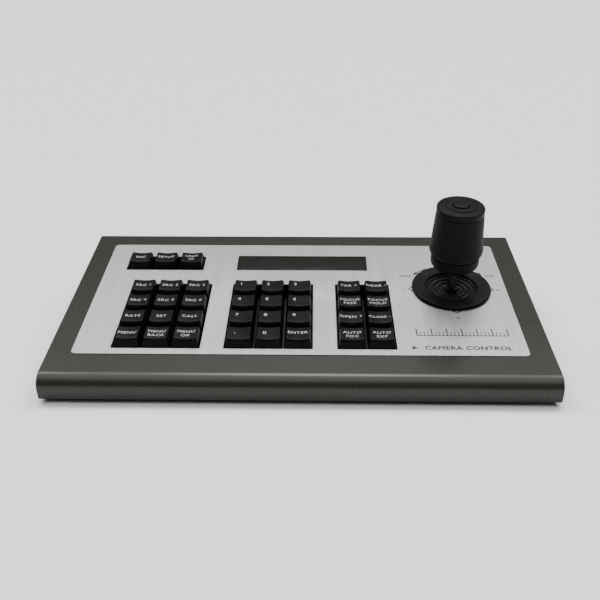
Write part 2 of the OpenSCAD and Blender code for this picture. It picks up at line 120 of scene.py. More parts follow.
def make_camera():
    data = bpy.data.cameras.new("camera")
    data.lens = LENS
    data.sensor_width = SENSOR_WIDTH
    data.clip_start = NEAREST
    camera = bpy.data.objects.new("camera", data)
    turn = (
        Matrix.Rotation(math.radians(-CAMERA_YAW), 4, "Z")
        @ Matrix.Rotation(math.radians(90 - CAMERA_PITCH), 4, "X")
        @ Matrix.Rotation(math.radians(CAMERA_ROLL), 4, "Z")
    )
    camera.matrix_world = Matrix.Translation(CAMERA_PLACE) @ turn
    bpy.context.scene.collection.objects.link(camera)
    bpy.context.scene.camera = camera


def make_studio():
    """A dome that brightens towards its top, and a wide soft light overhead in three parts."""
    world = bpy.data.worlds.new("studio")
    world.use_nodes = True
    tree = world.node_tree
    place = tree.nodes.new("ShaderNodeTexCoord")
    height = tree.nodes.new("ShaderNodeSeparateXYZ")
    ramp = tree.nodes.new("ShaderNodeValToRGB")
    ramp.color_ramp.elements[0].position = 0.0
    ramp.color_ramp.elements[0].color = (*DOME_BOTTOM, 1)
    ramp.color_ramp.elements[1].position = 1.0
    ramp.color_ramp.elements[1].color = (*DOME_TOP, 1)
    for share, colour in DOME_STEPS:
        ramp.color_ramp.elements.new(share).color = (*colour, 1)
    tree.links.new(place.outputs["Generated"], height.inputs["Vector"])
    tree.links.new(height.outputs["Z"], ramp.inputs["Fac"])
    tree.links.new(ramp.outputs["Color"], tree.nodes["Background"].inputs["Color"])
    tree.nodes["Background"].inputs["Strength"].default_value = DOME_STRENGTH
    bpy.context.scene.world = world
    data = bpy.data.lights.new("overhead", "SUN")
    data.energy = OVERHEAD_STRENGTH
    data.angle = math.radians(OVERHEAD_WIDTH)
    for side in OVERHEAD_SIDES:
        light = bpy.data.objects.new(f"overhead_{side}", data)
        light.rotation_euler = (math.radians(OVERHEAD_LEAN), math.radians(side), 0)
        bpy.context.scene.collection.objects.link(light)


def make_floor():
    half = FLOOR_HALF
    mesh = bpy.data.meshes.new("floor")
    corners = [(-half, -half, 0), (half, -half, 0), (half, half, 0), (-half, half, 0)]
    mesh.from_pydata(corners, [], [(0, 1, 2, 3)])
    floor = bpy.data.objects.new("floor", mesh)
    bpy.context.scene.collection.objects.link(floor)
    material = bpy.data.materials.new("floor_white")
    material.use_nodes = True
    shader = material.node_tree.nodes["Principled BSDF"]
    shader.inputs["Base Color"].default_value = (FLOOR_ALBEDO, FLOOR_ALBEDO, FLOOR_ALBEDO, 1)
    shader.inputs["Roughness"].default_value = 0.9
    shader.inputs["Specular IOR Level"].default_value = 0.1
    mesh.materials.append(material)


make_camera()
make_studio()
make_floor()

# ---------------------------------------------------------------- materials


class Look:
    """A material being put together: a Principled shader and the nodes that feed it."""

    def __init__(self, name, colour, roughness, metallic=0.0, specular=0.5):
        self.material = bpy.data.materials.new(name)
        self.material.use_nodes = True
        self.tree = self.material.node_tree
        self.shader = self.tree.nodes["Principled BSDF"]
        self.shader.inputs["Base Color"].default_value = (*colour, 1)
        self.shader.inputs["Roughness"].default_value = roughness
        self.shader.inputs["Metallic"].default_value = metallic
        self.shader.inputs["Specular IOR Level"].default_value = specular
        self.bump = None

    def set(self, **values):
        for socket, value in values.items():
            self.shader.inputs[socket.replace("_", " ")].default_value = value
        return self

    def coordinates(self, scale):
        """The piece's own coordinates in metres, scaled along X, Y and Z."""
        place = self.tree.nodes.new("ShaderNodeTexCoord")
        mapping = self.tree.nodes.new("ShaderNodeMapping")
        mapping.inputs["Scale"].default_value = scale
        self.tree.links.new(place.outputs["Object"], mapping.inputs["Vector"])
        return mapping.outputs["Vector"]

    def noise(self, scale, detail=2.0, stretch=(1, 1, 1), rough=0.5):
        """Noise with about scale features in a metre."""
        node = self.tree.nodes.new("ShaderNodeTexNoise")
        node.inputs["Scale"].default_value = scale
        node.inputs["Detail"].default_value = detail
        node.inputs["Roughness"].default_value = rough
        self.tree.links.new(self.coordinates(stretch), node.inputs["Vector"])
        return node.outputs["Fac"]

    def spread(self, value, low, high, start=0.3, end=0.7):
        """Maps start..end of a value to low..high."""
        node = self.tree.nodes.new("ShaderNodeMapRange")
        node.inputs["From Min"].default_value = start
        node.inputs["From Max"].default_value = end
        node.inputs["To Min"].default_value = low
        node.inputs["To Max"].default_value = high
        self.tree.links.new(value, node.inputs["Value"])
        return node.outputs["Result"]

    def mix(self, value, first, second):
        node = self.tree.nodes.new("ShaderNodeMix")
        node.data_type = "RGBA"
        for socket, colour in (("A", first), ("B", second)):
            colour_input = [s for s in node.inputs if s.name == socket and s.type == "RGBA"][0]
            if isinstance(colour, tuple):
                colour_input.default_value = (*colour, 1)
            else:
                self.tree.links.new(colour, colour_input)
        self.tree.links.new(value, node.inputs["Factor"])
        return [s for s in node.outputs if s.type == "RGBA"][0]

    def colour(self, value):
        self.tree.links.new(value, self.shader.inputs["Base Color"])
        return self

    def roughness(self, value):
        self.tree.links.new(value, self.shader.inputs["Roughness"])
        return self

    def relief(self, value, height_mm, strength=1.0):
        """Adds bump; each call stacks on the one before."""
        node = self.tree.nodes.new("ShaderNodeBump")
        node.inputs["Distance"].default_value = height_mm * MM
        node.inputs["Strength"].default_value = strength
        self.tree.links.new(value, node.inputs["Height"])
        if self.bump:
            self.tree.links.new(self.bump, node.inputs["Normal"])
        self.bump = node.outputs["Normal"]
        self.tree.links.new(self.bump, self.shader.inputs["Normal"])
        return self


def cover_paint():
    """Olive-grey metallic paint with fine flakes and a faint orange peel."""
    look = Look("cover_paint", (0.065, 0.067, 0.056), 0.3, metallic=0.2, specular=0.24)
    flakes = look.noise(2600, 2.0, rough=0.7)
    clouds = look.noise(45, 3.0)
    sparkle = look.spread(flakes, 0, 1, 0.35, 0.68)
    base = look.mix(sparkle, (0.015, 0.016, 0.0125), (0.036, 0.037, 0.030))
    tint = look.mix(look.spread(clouds, 0, 0.22), base, (0.033, 0.031, 0.028))
    look.colour(tint)
    look.roughness(look.spread(flakes, 0.22, 0.30))
    look.relief(look.noise(900, 2.0), 0.014, 0.5)
    look.relief(flakes, 0.006, 0.5)
    return look.set(Coat_Weight=0.2, Coat_Roughness=0.2).material


def brushed_steel():
    """Stainless plate brushed up the slope: long fine streaks over slow bands."""
    look = Look("face_steel", (0.40, 0.39, 0.38), 0.36, metallic=0.6)
    fine = look.noise(1.0, 4.0, (5200, 18, 18), 0.65)
    broad = look.noise(1.0, 3.0, (420, 4, 4), 0.6)
    streaks = look.mix(look.spread(fine, 0, 1, 0.25, 0.75), (0.36, 0.352, 0.35), (0.54, 0.53, 0.53))
    look.colour(look.mix(look.spread(broad, 0, 0.3), streaks, (0.54, 0.53, 0.55)))
    look.roughness(look.spread(fine, 0.28, 0.44))
    look.relief(fine, 0.01, 0.6)
    return look.set(Anisotropic=0.3).material


def moulded(name, colour, roughness, grain=1400, depth=0.012, specular=0.09):
    """Moulded plastic with a fine spark-eroded grain and slow changes of gloss."""
    look = Look(name, colour, roughness, specular=specular)
    fine = look.noise(grain, 2.0, rough=0.6)
    slow = look.noise(90, 2.0)
    dark = tuple(c * 0.82 for c in colour)
    light = tuple(c * 1.22 for c in colour)
    look.colour(look.mix(look.spread(slow, 0, 1), dark, light))
    look.roughness(look.spread(slow, roughness - 0.05, roughness + 0.06))
    look.relief(fine, depth, 0.6)
    return look.material


def rubber(name, colour, roughness=0.62):
    """Soft black rubber with a dusty bloom."""
    look = Look(name, colour, roughness, specular=0.1)
    fine = look.noise(900, 3.0, rough=0.7)
    dust = look.noise(160, 4.0, rough=0.6)
    bloom = tuple(c * 1.6 + 0.002 for c in colour)
    look.colour(look.mix(look.spread(dust, 0, 0.7, 0.4, 0.8), colour, bloom))
    look.roughness(look.spread(dust, roughness - 0.06, roughness + 0.08))
    look.relief(fine, 0.02, 0.6)
    return look.set(Sheen_Weight=0.06, Sheen_Roughness=0.5).material


def metal(name, colour, roughness, scale=1500):
    """Plain metal with faint working marks."""
    look = Look(name, colour, roughness, metallic=1.0)
    marks = look.noise(scale, 3.0, rough=0.6)
    dark = tuple(c * 0.82 for c in colour)
    look.colour(look.mix(look.spread(marks, 0, 1), dark, colour))
    look.roughness(look.spread(marks, roughness - 0.07, roughness + 0.1))
    look.relief(marks, 0.006, 0.5)
    return look.material


def printed(name, colour):
    """Screen-printed ink with slightly uneven cover."""
    look = Look(name, colour, 0.55)
    patches = look.noise(1200, 2.0)
    dark = tuple(c * 0.85 for c in colour)
    look.colour(look.mix(look.spread(patches, 0, 1), dark, colour))
    look.relief(patches, 0.004, 0.4)
    return look.material


def smoked_window():
    """Smoked acrylic, polished, with the faintest haze."""
    look = Look("window_glass", (0.35, 0.35, 0.34), 0.07, specular=0.35)
    look.roughness(look.spread(look.noise(300, 3.0), 0.05, 0.11))
    return look.set(Transmission_Weight=1.0, IOR=1.49).material


def circuit_board(name, colour, trace_colour):
    """Solder mask with faint traces under it."""
    look = Look(name, colour, 0.35)
    cells = look.tree.nodes.new("ShaderNodeTexVoronoi")
    cells.distance = "MANHATTAN"
    cells.feature = "DISTANCE_TO_EDGE"
    cells.inputs["Scale"].default_value = 160
    look.tree.links.new(look.coordinates((1, 1, 1)), cells.inputs["Vector"])
    trace = look.spread(cells.outputs["Distance"], 1, 0, 0.03, 0.06)
    look.colour(look.mix(trace, colour, trace_colour))
    look.relief(trace, 0.03, 0.6)
    return look.material


def display_glass():
    """Dark liquid-crystal glass with its cell grid."""
    look = Look("display_glass", (0.012, 0.014, 0.03), 0.2)
    grid = look.tree.nodes.new("ShaderNodeTexBrick")
    grid.offset = 0.0
    grid.inputs["Color1"].default_value = (0.016, 0.018, 0.042, 1)
    grid.inputs["Color2"].default_value = (0.014, 0.016, 0.038, 1)
    grid.inputs["Mortar"].default_value = (0.008, 0.009, 0.02, 1)
    grid.inputs["Scale"].default_value = 1.0
    grid.inputs["Brick Width"].default_value = 0.0037
    grid.inputs["Row Height"].default_value = 0.006
    grid.inputs["Mortar Size"].default_value = 0.0004
    look.tree.links.new(look.coordinates((1, 1, 1)), grid.inputs["Vector"])
    look.colour(grid.outputs["Color"])
    return look.material


PAINT = cover_paint()
STEEL_FACE = brushed_steel()
KEY_PLASTIC = moulded("key_plastic", (0.0050, 0.0052, 0.0048), 0.34, 1800, 0.010)
BLACK_PLASTIC = moulded("black_plastic", (0.014, 0.014, 0.014), 0.45)
SWITCH_PLASTIC = moulded("switch_plastic", (0.012, 0.012, 0.012), 0.6)
FLANGE_PLASTIC = moulded("flange_plastic", (0.0046, 0.0048, 0.0044), 0.40, 1300, 0.016)
KNOB_PLASTIC = moulded("knob_plastic", (0.0058, 0.0060, 0.0056), 0.45, 1100, 0.02)
TERMINAL_PLASTIC = moulded("terminal_plastic", (0.02, 0.16, 0.06), 0.45)
GRIP_RUBBER = rubber("grip_rubber", (0.0045, 0.0045, 0.0042))
BOOT_RUBBER = rubber("boot_rubber", (0.005, 0.005, 0.0047), 0.36)
FOOT_RUBBER = rubber("foot_rubber", (0.014, 0.014, 0.014))
SHAFT_STEEL = metal("shaft_steel", (0.10, 0.10, 0.10), 0.42)
SCREW_STEEL = metal("screw_steel", (0.022, 0.022, 0.022), 0.45)
JACK_METAL = metal("jack_metal", (0.62, 0.62, 0.60), 0.3)
ZINC_CASTING = metal("zinc_casting", (0.5, 0.5, 0.51), 0.5, 600)
AMBER_PIPE = moulded("amber_pipe", (0.55, 0.24, 0.02), 0.25)
GREEN_PIPE = moulded("green_pipe", (0.05, 0.30, 0.06), 0.25)
GOLD = metal("contact_gold", (0.85, 0.62, 0.25), 0.25)
WINDOW = smoked_window()
GREEN_BOARD = circuit_board("green_board", (0.015, 0.11, 0.05), (0.04, 0.2, 0.09))
BLACK_BOARD = circuit_board("black_board", (0.006, 0.006, 0.006), (0.012, 0.012, 0.012))
DISPLAY = display_glass()
WHITE_INK = printed("white_ink", (0.5, 0.5, 0.5))
DARK_INK = printed("dark_ink", (0.004, 0.004, 0.007))

# ---------------------------------------------------------------- mesh tools


def link_mesh(name, vertices, faces, place):
    """A new object from points in millimetres and their faces, with its normals outward."""
    mesh = bpy.data.meshes.new(name)
    mesh.from_pydata([place @ Vector(v) for v in vertices], [], faces)
    bm = bmesh.new()
    bm.from_mesh(mesh)
    bmesh.ops.recalc_face_normals(bm, faces=bm.faces)
    bm.to_mesh(mesh)
    bm.free()
    obj = bpy.data.objects.new(name, mesh)
    bpy.context.scene.collection.objects.link(obj)
    return obj


def dress(obj, body, material, replaces=(), sharp=32):
    """Smooths a piece up to an angle, gives it its material and lets it ride."""
    obj.data.shade_smooth()
    obj.data.set_sharp_from_angle(angle=math.radians(sharp))
    obj.data.materials.clear()
    obj.data.materials.append(material)
    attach(obj, body)
    if replaces:
        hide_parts(*replaces)
    return obj


FILLET_STEPS = 5


def fillet(corners):
    """Rounds the corners of an outline: each is (r, z) or (r, z, radius)."""
    points = []
    count = len(corners)
    for i, corner in enumerate(corners):
        here = Vector(corner[:2])
        radius = corner[2] if len(corner) > 2 else 0
        if not radius:
            points.append(here)
            continue
        before = (Vector(corners[i - 1][:2]) - here).normalized()
        after = (Vector(corners[(i + 1) % count][:2]) - here).normalized()
        half = before.angle(after) / 2
        reach = radius / math.tan(half)
        centre = here + (before + after).normalized() * (radius / math.sin(half))
        first = here + before * reach - centre
        turn = (here + after * reach - centre).angle_signed(first)
        for step in range(FILLET_STEPS + 1):
            points.append(centre + Matrix.Rotation(turn * step / FILLET_STEPS, 2) @ first)
    return points


def lathe(name, outline):
    """Turns a closed outline of (radius, height) points round the joystick's axis."""
    steps = 112
    vertices, faces = [], []
    count = len(outline)
    for r, z in outline:
        for step in range(steps):
            a = 2 * math.pi * step / steps
            vertices.append((r * math.cos(a), r * math.sin(a), z))
    for i in range(count):
        j = (i + 1) % count
        for step in range(steps):
            after = (step + 1) % steps
            faces.append((i * steps + step, i * steps + after, j * steps + after, j * steps + step))
    return link_mesh(name, vertices, faces, STICK)


def solid_lathe(name, outline, place=STICK, steps=96):
    """Turns an outline that starts and ends on the axis round the Z axis of a place."""
    vertices, faces = [(0, 0, outline[0][1])], []
    inner = outline[1:-1]
    for r, z in inner:
        for step in range(steps):
            a = 2 * math.pi * step / steps
            vertices.append((r * math.cos(a), r * math.sin(a), z))
    vertices.append((0, 0, outline[-1][1]))
    last = len(vertices) - 1
    for step in range(steps):
        after = (step + 1) % steps
        faces.append((0, 1 + step, 1 + after))
        top = 1 + (len(inner) - 1) * steps
        faces.append((last, top + after, top + step))
        for i in range(len(inner) - 1):
            a, b = 1 + i * steps, 1 + (i + 1) * steps
            faces.append((a + step, a + after, b + after, b + step))
    return link_mesh(name, vertices, faces, place)


# Vertices closer than this are one, edges flatter than FLAT_EDGE go, and those past SHARP_EDGE are softened
MERGE_M = 2e-6
FLAT_EDGE = math.radians(0.4)
SHARP_EDGE = math.radians(30)


def cad_copy(node, bevel_mm, segments, keep):
    """A node's own shape with its sharp edges softened; keep picks the edges by their middle."""
    source = frame["nodes"][node].data
    mesh = bpy.data.meshes.new(node + "_shape")
    mesh.from_pydata([v.co.copy() for v in source.vertices], [], [p.vertices[:] for p in source.polygons])
    bm = bmesh.new()
    bm.from_mesh(mesh)
    bmesh.ops.remove_doubles(bm, verts=bm.verts, dist=MERGE_M)
    bmesh.ops.dissolve_limit(bm, angle_limit=FLAT_EDGE, verts=bm.verts, edges=bm.edges)
    bmesh.ops.recalc_face_normals(bm, faces=bm.faces)
    back = DECK.inverted()
    edges = []
    for edge in bm.edges:
        if not edge.is_manifold or edge.calc_face_angle(0) < SHARP_EDGE:
            continue
        middle = back @ ((edge.verts[0].co + edge.verts[1].co) / 2)
        if keep is None or keep(middle):
            edges.append(edge)
    if edges:
        bmesh.ops.bevel(
            bm, geom=edges, offset=bevel_mm * MM, segments=segments, profile=0.5,
            affect="EDGES", clamp_overlap=True,
        )
    bm.to_mesh(mesh)
    bm.free()
    obj = bpy.data.objects.new(node + "_shape", mesh)
    bpy.context.scene.collection.objects.link(obj)
    return obj


# ---------------------------------------------------------------- casing

BODY_OF = {
    node: body for body, nodes in frame["record"]["behaviour"]["bodies"].items() for node in nodes
}


FLAT_FACE_WEIGHT = 80


def refine(node, material, bevel_mm, segments=2, keep=None):
    """Replaces a CAD node by its own shape with softened edges."""
    obj = cad_copy(node, bevel_mm, segments, keep)
    dress(obj, BODY_OF[node], material, (node,))
    weighting = obj.modifiers.new("flat_faces_stay_flat", "WEIGHTED_NORMAL")
    weighting.keep_sharp = True
    weighting.weight = FLAT_FACE_WEIGHT


CASE_HIGH = deck_box("top_cover")[1]
FRONT_BEND_U = 0.6
REAR_BEND_DEPTH = 12


def on_cover_rim(middle):
    """True on the cover's outer edges: down both cheeks, and along the front and rear."""
    at_cheek = abs(middle.x) > CASE_HIGH.x - 0.1
    return at_cheek or middle.y < FRONT_BEND_U or middle.y > CASE_HIGH.y - REAR_BEND_DEPTH


refine("top_cover", PAINT, 0.9, 4, on_cover_rim)
# Each node shown by its own shape, with its material and the width of its softened edges in millimetres
for softened, finish, bevel_width in (
    ("bottom_cover", PAINT, 0.25),
    ("face_plate", STEEL_FACE, 0.12),
    ("display_window", WINDOW, 0.15),
    ("display_module", BLACK_PLASTIC, 0.2),
    ("keypad_board", BLACK_BOARD, 0.1),
    ("key_switches", SWITCH_PLASTIC, 0.3),
    ("main_board", GREEN_BOARD, 0.1),
    ("sensor_board", GREEN_BOARD, 0.1),
    ("ethernet_jack", JACK_METAL, 0.15),
    ("power_jack", BLACK_PLASTIC, 0.2),
    ("serial_terminal", TERMINAL_PLASTIC, 0.15),
    ("power_switch_body", BLACK_PLASTIC, 0.3),
    ("power_rocker", BLACK_PLASTIC, 0.3),
    ("joystick_housing", BLACK_PLASTIC, 0.3),
    ("gimbal_cradle", ZINC_CASTING, 0.2),
    ("joystick_shaft", SHAFT_STEEL, 0.15),
    ("flange_screws", SCREW_STEEL, 0.08),
    ("cover_screws", SCREW_STEEL, 0.08),
):
    refine(softened, finish, bevel_width)

# ---------------------------------------------------------------- keycaps

CAP_FOOT = -1.2
CAP_TOP = 6.3
CAP_HALF_W = 8.9
CAP_HALF_D = 9.0
CAP_LEAN_SIDE = 1.4
CAP_LEAN_FRONT = 2.7
CAP_LEAN_BACK = 2.0
DISH_HALF_W = 7.5
DISH_DEPTH = 1.0
CAP_MIDDLE_Y = (CAP_LEAN_FRONT - CAP_LEAN_BACK) / 2
EDGE_STEPS = 10
CORNER_STEPS = 5
# The soft rim between the keycap's walls and its top: its radius, where it starts and its corners
RIM_ROUNDING = 0.75
RIM_SHARE = 0.95
RIM_CORNER = 1.2
# The hollow underneath, as share of height, height and distance from the outside; the last is its roof
HOLLOW = ((0, CAP_FOOT, 1.3), (0.6, 3.4, 1.3), (0.62, 4.0, 2.2))
HOLLOW_ROOF = 4.0
STEM_HALF = 2.0
STEM_FOOT = -5.5
STEM_TAPER = 0.92


def cap_ring(share, inset, corner):
    """One level of a keycap: a rounded rectangle at a share of its height, set in by inset."""
    x = CAP_HALF_W - CAP_LEAN_SIDE * share - inset
    front = -CAP_HALF_D + CAP_LEAN_FRONT * share + inset
    back = CAP_HALF_D - CAP_LEAN_BACK * share - inset
    corner = min(corner, x * 0.95, (back - front) * 0.48)
    centres = [
        (x - corner, back - corner),
        (corner - x, back - corner),
        (corner - x, front + corner),
        (x - corner, front + corner),
    ]
    ring = []
    for k, (cx, cy) in enumerate(centres):
        for step in range(CORNER_STEPS + 1):
            a = math.radians(90 * k + 90 * step / CORNER_STEPS)
            ring.append(Vector((cx + corner * math.cos(a), cy + corner * math.sin(a))))
        following = centres[(k + 1) % 4]
        start = ring[-1]
        a = math.radians(90 * (k + 1))
        end = Vector((following[0] + corner * math.cos(a), following[1] + corner * math.sin(a)))
        for step in range(1, EDGE_STEPS):
            ring.append(start.lerp(end, step / EDGE_STEPS))
    return ring


def dish(x):
    """How far the finger dish lies below the keycap's top at a place across it."""
    return DISH_DEPTH * max(0.0, 1 - (x / DISH_HALF_W) ** 2)


def cap_levels():
    """The keycap's outside, ring by ring from its foot to near the middle of its top."""
    levels = []
    for share in (0.0, 0.25, 0.5, 0.72, 0.84):
        height = CAP_FOOT + (CAP_TOP - CAP_FOOT) * share
        sag = max(0, share - 0.25)
        ring = cap_ring(share, 0, 0.9 + 0.3 * share)
        levels.append([(p.x, p.y, height - dish(p.x) * sag * 0.9) for p in ring])
    for angle in (18, 36, 54, 72, 90):
        inset = RIM_ROUNDING * (1 - math.cos(math.radians(angle)))
        drop = RIM_ROUNDING * (1 - math.sin(math.radians(angle)))
        ring = cap_ring(RIM_SHARE, inset, RIM_CORNER)
        levels.append([(p.x, p.y, CAP_TOP - drop - dish(p.x)) for p in ring])
    middle = Vector((0, CAP_MIDDLE_Y))
    for shrink in (0.8, 0.6, 0.4, 0.2):
        outer = cap_ring(RIM_SHARE, RIM_ROUNDING, RIM_CORNER)
        ring = [middle + (p - middle) * shrink for p in outer]
        levels.append([(p.x, p.y, CAP_TOP - dish(p.x)) for p in ring])
    return levels


def add_hollow(vertices, faces, count):
    """Adds the keycap's inside walls; returns the first vertex of its roof."""
    start = len(vertices)
    for share, height, inset in HOLLOW:
        vertices.extend((p.x, p.y, height) for p in cap_ring(share, inset, 0.9))
    for k in range(count):
        after = (k + 1) % count
        faces.append((k, after, start + after, start + k))
        for i in range(len(HOLLOW) - 1):
            a, b = start + i * count, start + (i + 1) * count
            faces.append((a + k, a + after, b + after, b + k))
    return start + (len(HOLLOW) - 1) * count


def add_stem(vertices, faces, count, roof):
    """Closes the roof round a square stem that reaches down into the switch."""
    corners = [(STEM_HALF * x, STEM_HALF * y) for x, y in ((1, 1), (-1, 1), (-1, -1), (1, -1))]
    base = len(vertices)
    vertices.extend((x, y, HOLLOW_ROOF) for x, y in corners)
    vertices.extend((x * STEM_TAPER, y * STEM_TAPER, STEM_FOOT) for x, y in corners)
    per_side = count // 4
    for side in range(4):
        first = roof + side * per_side
        fan = [first + k for k in range(per_side)] + [roof + ((side + 1) * per_side) % count]
        for k in range(per_side):
            faces.append((fan[k], fan[k + 1], base + side))
        after = (side + 1) % 4
        faces.append((fan[-1], base + after, base + side))
        faces.append((base + side, base + after, base + 4 + after, base + 4 + side))
    faces.append(tuple(base + 4 + side for side in range(4)))


def cap_mesh():
    """A dished keycap, hollow underneath, with its stem; its origin is on the deck at its middle."""
    levels = cap_levels()
    vertices, faces = [], []
    count = len(levels[0])
    for level in levels:
        vertices.extend(level)
    for i in range(len(levels) - 1):
        for k in range(count):
            after = (k + 1) % count
            faces.append((i * count + k, i * count + after, (i + 1) * count + after, (i + 1) * count + k))
    vertices.append((0, CAP_MIDDLE_Y, CAP_TOP - dish(0)))
    top = (len(levels) - 1) * count
    for k in range(count):
        faces.append((top + k, top + (k + 1) % count, len(vertices) - 1))
    roof = add_hollow(vertices, faces, count)
    add_stem(vertices, faces, count, roof)
    return vertices, faces


def letters(name, text, size, stretch, thickness, weight=0.0, line=1.0, spacing=1.0):
    """Lettering as a mesh in millimetres, centred on its origin, lying in the XY plane."""
    curve = bpy.data.curves.new(name, "FONT")
    curve.body = text
    curve.size = size
    curve.align_x = "CENTER"
    curve.align_y = "CENTER"
    curve.space_line = line
    curve.space_character = spacing
    curve.extrude = thickness / 2
    curve.bevel_depth = weight
    curve.bevel_resolution = 0
    curve.resolution_u = 3
    scratch = bpy.data.objects.new(name, curve)
    bpy.context.scene.collection.objects.link(scratch)
    depsgraph = bpy.context.evaluated_depsgraph_get()
    mesh = bpy.data.meshes.new_from_object(scratch.evaluated_get(depsgraph))
    bpy.data.objects.remove(scratch)
    points = [(v.co.x * stretch, v.co.y, v.co.z) for v in mesh.vertices]
    faces = [tuple(p.vertices) for p in mesh.polygons]
    bpy.data.meshes.remove(mesh)
    x, y = ((min(p[i] for p in points) + max(p[i] for p in points)) / 2 for i in (0, 1))
    return [(p[0] - x, p[1] - y, p[2]) for p in points], faces


# What each key says: text, letter size, place across and up the cap
WORD = 3.6
TWO_LINE = 3.5
DIGIT = 4.4
LEGENDS = {
    "key_source_1": ("SRC 1", WORD, 0, 0.3),
    "key_source_2": ("SRC 2", WORD, 0, 0.3),
    "key_source_3": ("SRC 3", WORD, 0, 0.3),
    "key_source_4": ("SRC 4", WORD, 0, 0.3),
    "key_source_5": ("SRC 5", WORD, 0, 0.3),
    "key_source_6": ("SRC 6", WORD, 0, 0.3),
    "key_speed": ("RATE", WORD, 0, 0.3),
    "key_set": ("SET", WORD, 0, 0.3),
    "key_call": ("CALL", WORD, 0, 0.3),
    "key_menu": ("MENU", WORD, 0, 0.3),
    "key_back": ("MENU\nBACK", TWO_LINE, 0, -0.3),
    "key_accept": ("MENU\nOK", TWO_LINE, 0, -0.3),
    "key_digit_1": ("1", DIGIT, -3.0, 2.2),
    "key_digit_2": ("2", DIGIT, -3.0, 2.2),
    "key_digit_3": ("3", DIGIT, -3.0, 2.2),
    "key_digit_4": ("4", DIGIT, -3.0, 2.2),
    "key_digit_5": ("5", DIGIT, -3.0, 2.2),
    "key_digit_6": ("6", DIGIT, -3.0, 2.2),
    "key_digit_7": ("7", DIGIT, -3.0, 2.2),
    "key_digit_8": ("8", DIGIT, -3.0, 2.2),
    "key_digit_9": ("9", DIGIT, -3.0, 2.2),
    "key_point": (".", 6.0, -2.8, 0.6),
    "key_digit_0": ("0", DIGIT, -2.6, 0.9),
    "key_enter": ("ENTER", WORD, 0, 1.2),
    "key_focus_far": ("FAR +", WORD, 0, 0.8),
    "key_focus_near": ("NEAR -", WORD, 0, 0.8),
    "key_focus_free": ("FOCUS\nFREE", TWO_LINE, 0, -0.3),
    "key_focus_lock": ("FOCUS\nHOLD", TWO_LINE, 0, -0.3),
    "key_iris_open": ("OPEN +", WORD, 0, 0.4),
    "key_iris_close": ("CLOSE -", 3.3, 0, 0.4),
    "key_auto_focus": ("AUTO\nFOC", TWO_LINE, 0, -0.3),
    "key_auto_exposure": ("AUTO\nEXP", TWO_LINE, 0, -0.3),
    "key_escape": ("ESC", WORD, 0, 0.8),
    "key_setup": ("SETUP", WORD, 0, 0.8),
    "key_device": ("UNIT\nID", 3.3, 0, 0.3),
}
# How far the legends stand proud of the cap, and how thick they are
LEGEND_PROUD = 0.05
LEGEND_T = 0.1
LETTER_STRETCH = 1.15
LEGEND_LINE = 1.14
LEGEND_SPACING = 1.1


def make_keys():
    vertices, faces = cap_mesh()
    for node, (text, size, x, u) in LEGENDS.items():
        low, high = deck_box(node)
        middle = (low + high) / 2
        place = DECK @ Matrix.Translation((middle.x, middle.y, 0))
        cap = link_mesh(node + "_cap", vertices, faces, place)
        dress(cap, BODY_OF[node], KEY_PLASTIC, (node,), 50)
        points, letter_faces = letters(
            node + "_text", text, size, LETTER_STRETCH, LEGEND_T, line=LEGEND_LINE, spacing=LEGEND_SPACING
        )
        raised = []
        for across, along, up in points:
            height = CAP_TOP - dish(across + x) + LEGEND_PROUD - LEGEND_T / 2 + up
            raised.append((across + x, along + u, height))
        legend = link_mesh(node + "_legend", raised, letter_faces, place)
        dress(legend, BODY_OF[node], WHITE_INK)


make_keys()

# ---------------------------------------------------------------- joystick

refine("joystick_flange", FLANGE_PLASTIC, 0.35, 3)

# The boot: a rim held under the flange, ripples between two radii, and a collar on the shaft
BOOT_RIM_R = 22.2
BOOT_RIM_INNER_R = 20.5
BOOT_RIM_FOOT = 0.5
BOOT_RIM_TOP = 1.5
BOOT_FREE_R = 17.2
BOOT_MIDDLE_R = 11.8
BOOT_COLLAR_R = 4.6
BOOT_BORE_R = 3.02
BOOT_COLLAR_HALF_H = 2.5
BOOT_CHAMFER = 0.4
# Inner radius handed to radial_blend for the boot's inner part
BOOT_HELD_R = 5.0
BOOT_RIM_N = 1.1
RIPPLE = 3.6
RIPPLE_H = 0.75
BOOT_FALL = 0.1
BOOT_T = 0.8


def boot_height(r):
    """Height of the boot's middle surface: ripples that sink towards the collar."""
    inward = BOOT_FREE_R - r
    return BOOT_RIM_N - BOOT_FALL * inward - RIPPLE_H * (1 - math.cos(2 * math.pi * inward / RIPPLE))


def sheet_outline(radii):
    """The lower and the upper line of the boot's sheet at these radii."""
    lower = [(r, boot_height(r) - BOOT_T / 2) for r in radii]
    upper = [(r, boot_height(r) + BOOT_T / 2) for r in radii]
    return lower, upper


def boot_radii(low, high, steps):
    return [low + (high - low) * i / steps for i in range(steps + 1)]


def radial_blend(obj, still_r, moving_r):
    """Bakes the piece's place into its mesh and works out each vertex's share between two radii from the
    joystick's axis; the share is not used further.
    """
    axis_back = STICK.inverted()
    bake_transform(obj)
    for vertex in obj.data.vertices:
        local = axis_back @ vertex.co
        share = (still_r - math.hypot(local.x, local.y)) / (still_r - moving_r)
        share = max(0.0, min(1.0, share))


